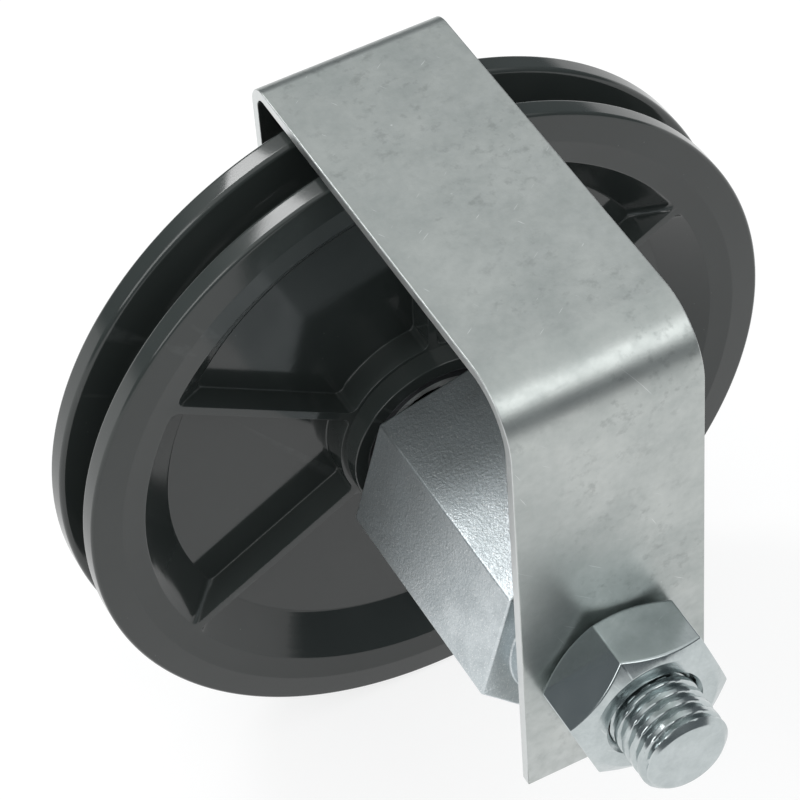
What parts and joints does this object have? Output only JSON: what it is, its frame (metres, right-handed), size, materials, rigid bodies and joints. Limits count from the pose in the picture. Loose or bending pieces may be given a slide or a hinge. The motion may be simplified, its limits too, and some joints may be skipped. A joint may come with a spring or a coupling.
{
  "type": "rope pulley",
  "caption": "Grooved rope pulley on ball bearings, carried by a hexagon axle with a threaded stud and nut, under a folded steel guard strap that keeps the rope in its groove.",
  "frame": {"origin": "centre of the rope groove on the wheel's spin axis", "axes": "+Y along the spin axis away from the threaded stud, +Z towards the guard strap's cross piece, +X sideways"},
  "size_m": [0.096, 0.0876, 0.0987],
  "materials": {
    "wheel_plastic": "moulded black plastic, very glossy",
    "spring_steel": "blackened spring steel",
    "zinc_bar": "bright zinc plate over drawn bar, fine orange-peel grain",
    "zinc_sheet": "matt zinc plated sheet with small scuffs",
    "zinc_fastener": "bright blue zinc plate",
    "bearing_steel": "ground bearing steel",
    "shield_steel": "pressed thin sheet steel"
  },
  "bodies": {
    "frame": {"guard_strap": "zinc_sheet", "hexagon_axle": "zinc_bar", "stud_nut": "zinc_fastener", "axle_bolt": "zinc_fastener", "bolt_washer": "zinc_fastener", "near_spacer": "zinc_bar", "far_spacer": "zinc_bar", "near_bearing_inner_ring": "bearing_steel", "far_bearing_inner_ring": "bearing_steel"},
    "wheel": {"rope_wheel": "wheel_plastic", "retaining_ring": "spring_steel", "near_bearing_outer_ring": "bearing_steel", "near_bearing_near_shield": "shield_steel", "near_bearing_far_shield": "shield_steel", "far_bearing_outer_ring": "bearing_steel", "far_bearing_near_shield": "shield_steel", "far_bearing_far_shield": "shield_steel"},
    "near_cage": {"near_bearing_balls": "bearing_steel", "near_bearing_cage": "shield_steel"},
    "far_cage": {"far_bearing_balls": "bearing_steel", "far_bearing_cage": "shield_steel"}
  },
  "joints": [
    {"name": "wheel_spin", "type": "hinge", "parent": "frame", "child": "wheel", "pos_m": [0, 0, 0], "axis": [0, 1, 0], "continuous": true},
    {"name": "near_cage_spin", "type": "hinge", "parent": "frame", "child": "near_cage", "pos_m": [0, -0.0035, 0], "axis": [0, 1, 0], "continuous": true},
    {"name": "far_cage_spin", "type": "hinge", "parent": "frame", "child": "far_cage", "pos_m": [0, 0.0035, 0], "axis": [0, 1, 0], "continuous": true}
  ],
  "couplings": [
    {"joint": "near_cage_spin", "follows": "wheel_spin", "ratio": 0.6323},
    {"joint": "far_cage_spin", "follows": "wheel_spin", "ratio": 0.6323}
  ]
}
